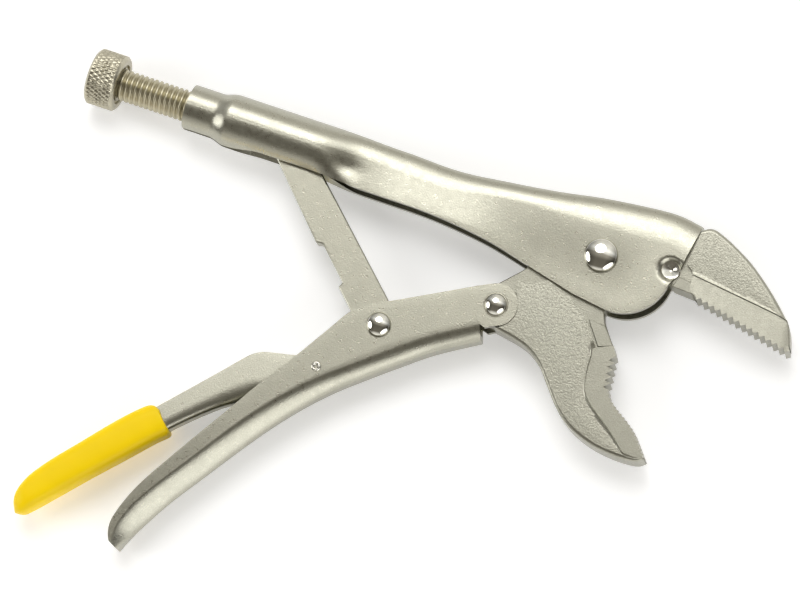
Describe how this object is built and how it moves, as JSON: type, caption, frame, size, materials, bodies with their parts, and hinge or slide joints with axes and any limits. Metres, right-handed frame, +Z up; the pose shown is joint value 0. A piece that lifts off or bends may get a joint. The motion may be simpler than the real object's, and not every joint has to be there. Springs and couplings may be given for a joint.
{
  "type": "locking pliers",
  "caption": "Hand pliers with a curved toothed jaw, a toggle link that locks the handles, a knurled adjusting screw and a dipped release lever.",
  "frame": {"origin": "the middle of the open tool's footprint, on the surface that it lies on; the jaw pivot stands 50.8 mm along +X and 54.2 mm along +Y from it", "axes": "the tool lies on its side: +X along the adjusting screw towards the jaws, +Y from the lower handle to the upper one, +Z up through its thickness, along every pivot"},
  "size_m": [0.2236, 0.1466, 0.017],
  "materials": {
    "nickel_sheet": "satin bright nickel over pressed sheet, fine blasted grain",
    "nickel_plate": "satin nickel over flat blanked plate, fine grain",
    "jaw_steel": "nickel plated forging, coarse pebbled grain, smoother on the toothed bevels",
    "polished_rivet": "polished",
    "screw_thread": "rolled thread with a warm plated tint",
    "knob_steel": "diamond knurled, nickel plated",
    "spring_wire": "drawn wire",
    "yellow_vinyl": "soft gloss dipped vinyl"
  },
  "bodies": {
    "upper_handle": {"upper_handle": "nickel_sheet", "fixed_jaw": "jaw_steel", "fixed_jaw_plug": "polished_rivet", "jaw_pivot_rivet": "polished_rivet", "return_spring": "spring_wire"},
    "movable_jaw": {"movable_jaw": "jaw_steel", "handle_rivet": "polished_rivet"},
    "lower_handle": {"lower_handle": "nickel_sheet", "link_rivet": "polished_rivet", "lever_rivet": "polished_rivet"},
    "link": {"link": "nickel_plate"},
    "release_lever": {"release_lever": "nickel_plate", "lever_sleeve": "yellow_vinyl"},
    "screw": {"adjusting_screw": "screw_thread"},
    "knob": {"adjusting_knob": "knob_steel"}
  },
  "joints": [
    {"name": "jaw_pivot", "type": "hinge", "parent": "upper_handle", "child": "movable_jaw", "pos_m": [0.0508, 0.0542, 0.0085], "axis": [0, 0, 1], "range_deg": [0, 28.2], "stiffness_Nm_per_rad": 0.05, "springref_deg": -34.38, "deforming": ["return_spring"]},
    {"name": "handle_pivot", "type": "hinge", "parent": "movable_jaw", "child": "lower_handle", "pos_m": [0.0268, 0.0305, 0.0085], "axis": [0, 0, 1], "range_deg": [-69, 0]},
    {"name": "link_pivot", "type": "hinge", "parent": "lower_handle", "child": "link", "pos_m": [-0.0036, 0.0139, 0.0085], "axis": [0, 0, 1], "range_deg": [0, 57]},
    {"name": "lever_pivot", "type": "hinge", "parent": "lower_handle", "child": "release_lever", "pos_m": [-0.0167, -0.0037, 0.0085], "axis": [0, 0, 1], "range_deg": [0, 8]},
    {"name": "screw_travel", "type": "slide", "parent": "upper_handle", "child": "screw", "axis": [1, 0, 0], "range_m": [-0.0119, 0]},
    {"name": "knob_turn", "type": "hinge", "parent": "screw", "child": "knob", "pos_m": [-0.1072, 0.058, 0.0085], "axis": [1, 0, 0], "range_deg": [-2700, 0]}
  ],
  "couplings": [
    {"joint": "handle_pivot", "follows": "jaw_pivot", "ratio": -2.411},
    {"joint": "link_pivot", "follows": "jaw_pivot", "ratio": 1.987},
    {"joint": "knob_turn", "follows": "screw_travel", "rad_per_m": 3957.9}
  ]
}
